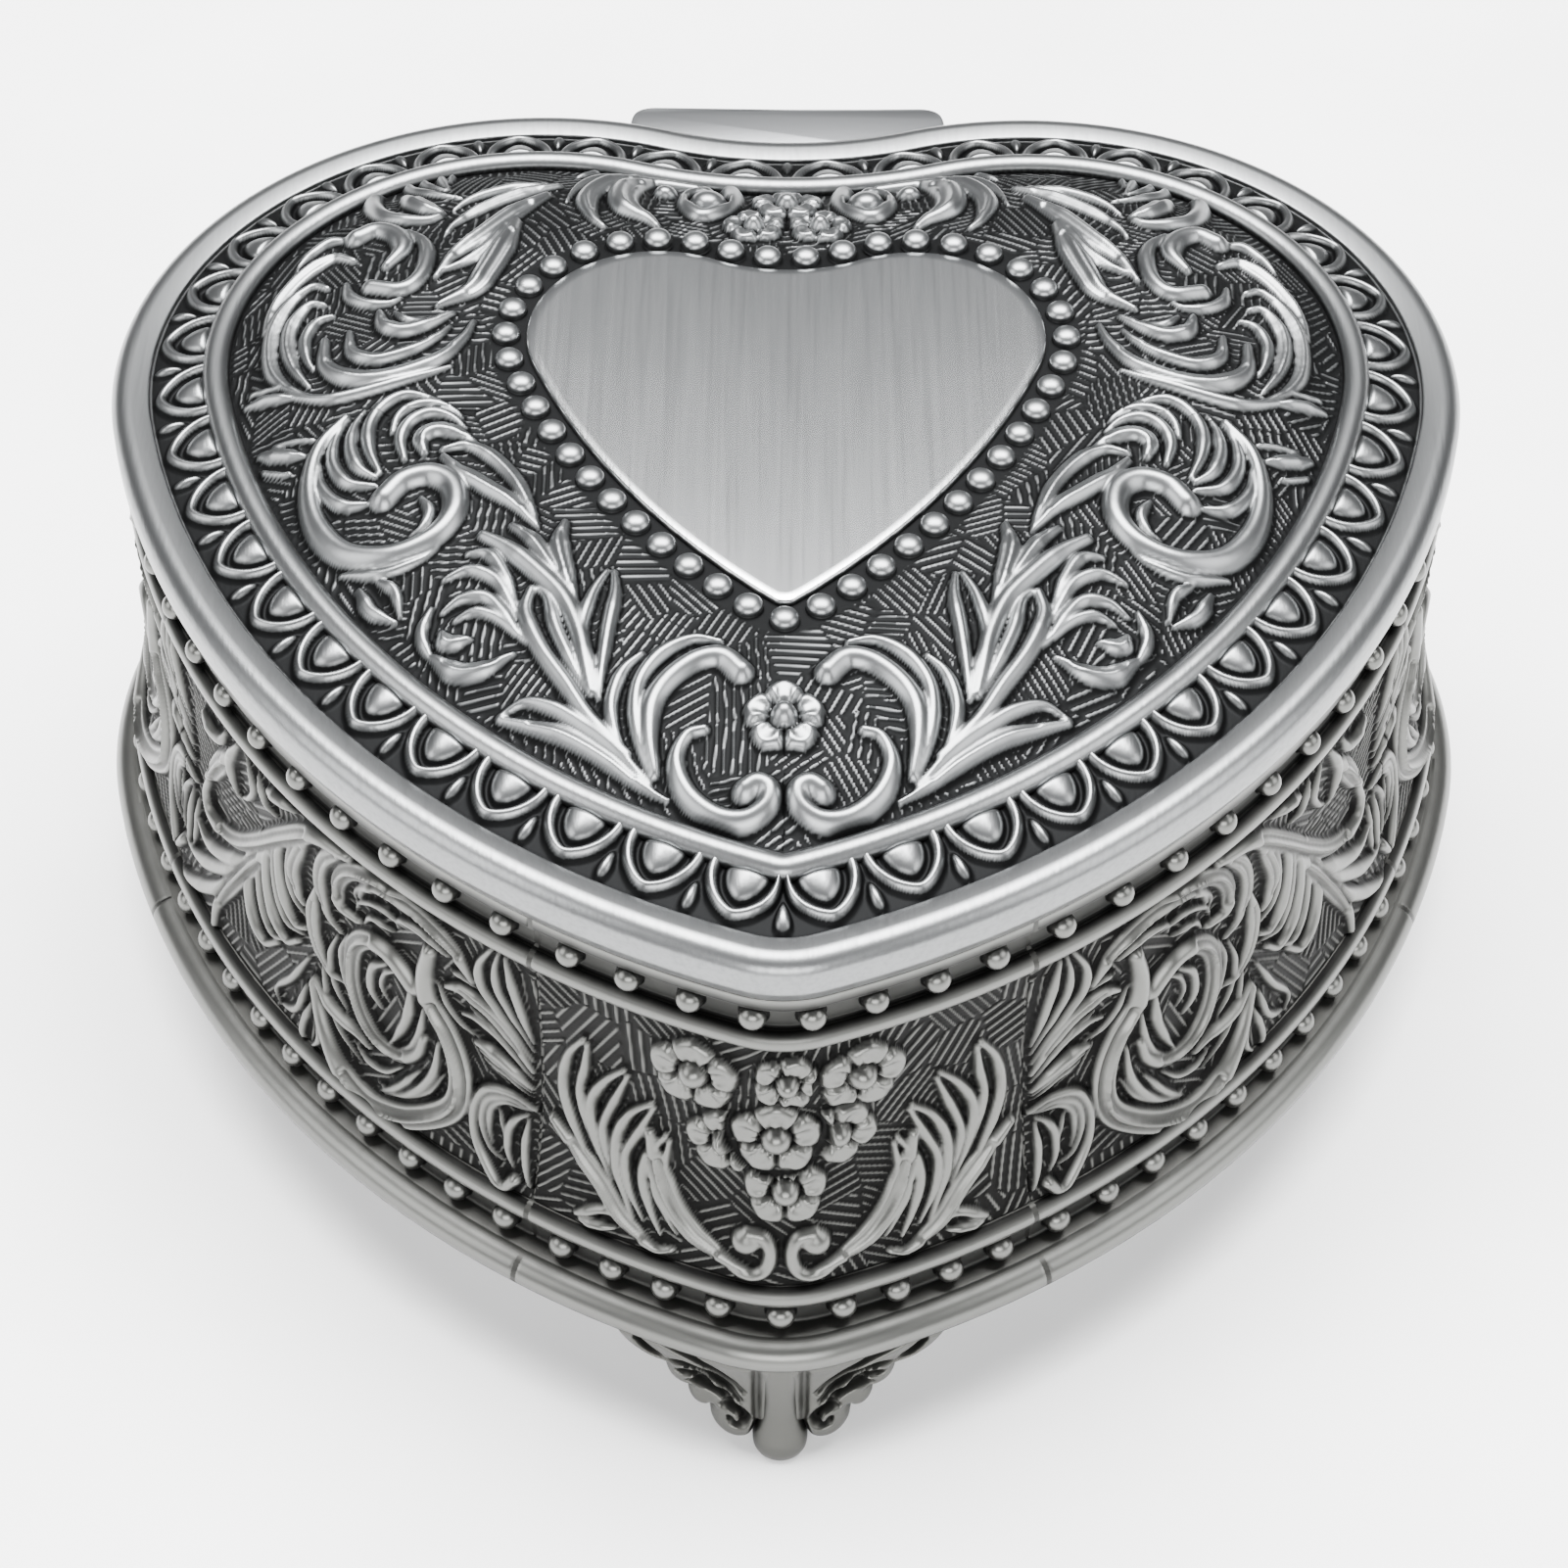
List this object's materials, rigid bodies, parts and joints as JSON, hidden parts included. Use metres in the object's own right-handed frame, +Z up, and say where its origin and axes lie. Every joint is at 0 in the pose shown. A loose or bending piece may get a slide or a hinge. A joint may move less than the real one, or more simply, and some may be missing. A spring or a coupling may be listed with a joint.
{
  "type": "wind up music box",
  "caption": "Heart-shaped pewter trinket box on feet, with a hinged domed lid in scroll relief and a key-wound musical movement inside.",
  "frame": {"origin": "middle of the footprint, on the surface the feet stand on", "axes": "+Z up, the heart's tip (front) at -Y, hinge at +Y, width along X"},
  "size_m": [0.1078, 0.0983, 0.0553],
  "materials": {
    "pewter_lid": "antique pewter, satin crests over dark recesses",
    "pewter_case": "antique pewter, darker recesses, slightly warm",
    "pewter_foot": "antique pewter, satin",
    "steel_plate": "satin sheet",
    "steel_screw": "satin",
    "steel_bright": "ground",
    "spring_steel": "blued",
    "brass_bright": "satin brass",
    "bed_cast": "as cast zinc alloy",
    "velvet": "crushed velvet",
    "cover_clear": "clear sheet",
    "nylon_white": "moulded"
  },
  "bodies": {
    "case": {"wall_front": "pewter_case", "wall_left": "pewter_case", "wall_right": "pewter_case", "base_plate": "steel_plate", "base_screws": "steel_screw", "foot_screws": "steel_screw", "movement_screws": "steel_screw", "foot_front": "pewter_foot", "foot_left": "pewter_foot", "foot_right": "pewter_foot", "hinge_block": "pewter_case", "hinge_pin": "steel_bright", "hinge_rivets": "steel_screw", "velvet_tray": "velvet", "partition": "velvet", "movement_cover": "cover_clear", "wall_lining": "velvet", "bedplate": "bed_cast", "comb": "steel_bright", "comb_screws": "steel_screw", "cylinder_bearing": "bed_cast", "barrel_bridge": "bed_cast", "governor_frame": "brass_bright", "lever_screw": "steel_screw"},
    "lid": {"lid_shell": "pewter_lid", "lid_pad": "velvet"},
    "barrel": {"spring_barrel": "brass_bright", "barrel_cap": "brass_bright", "mainspring": "spring_steel"},
    "cylinder": {"drum": "brass_bright", "cylinder_arbor": "steel_bright", "cylinder_gear": "nylon_white"},
    "idler_wheel": {"idler": "nylon_white"},
    "governor": {"worm": "steel_bright", "fan": "nylon_white"},
    "lever": {"stop_lever": "steel_bright"},
    "key": {"winding_arbor": "steel_bright", "winding_key": "steel_screw"}
  },
  "joints": [
    {"name": "lid_hinge", "type": "hinge", "parent": "case", "child": "lid", "pos_m": [0, 0.04665, 0.04365], "axis": [-1, 0, 0], "range_deg": [0, 100]},
    {"name": "barrel_spin", "type": "hinge", "parent": "case", "child": "barrel", "pos_m": [-0.014, 0.02375, 0.0195], "axis": [0, 0, 1], "continuous": true},
    {"name": "cylinder_spin", "type": "hinge", "parent": "case", "child": "cylinder", "pos_m": [0.0055, 0.02375, 0.02529], "axis": [1, 0, 0], "continuous": true},
    {"name": "idler_spin", "type": "hinge", "parent": "case", "child": "idler_wheel", "pos_m": [0.0197, 0.03103, 0.02529], "axis": [1, 0, 0], "continuous": true},
    {"name": "governor_spin", "type": "hinge", "parent": "case", "child": "governor", "pos_m": [0.021, 0.03611, 0.02529], "axis": [0, 0, 1], "continuous": true},
    {"name": "stop_lever_rock", "type": "hinge", "parent": "case", "child": "lever", "pos_m": [0.0249, 0.02975, 0.0202], "axis": [-1, 0, 0], "range_deg": [0, 8], "stiffness_Nm_per_rad": 0.00015, "springref_deg": 12.03},
    {"name": "key_turn", "type": "hinge", "parent": "case", "child": "key", "pos_m": [-0.014, 0.02375, 0.0055], "axis": [0, 0, 1], "continuous": true}
  ],
  "couplings": [
    {"joint": "cylinder_spin", "follows": "barrel_spin", "ratio": 4},
    {"joint": "idler_spin", "follows": "barrel_spin", "ratio": -20},
    {"joint": "governor_spin", "follows": "barrel_spin", "ratio": 480},
    {"joint": "stop_lever_rock", "follows": "lid_hinge", "ratio": 0.08}
  ]
}
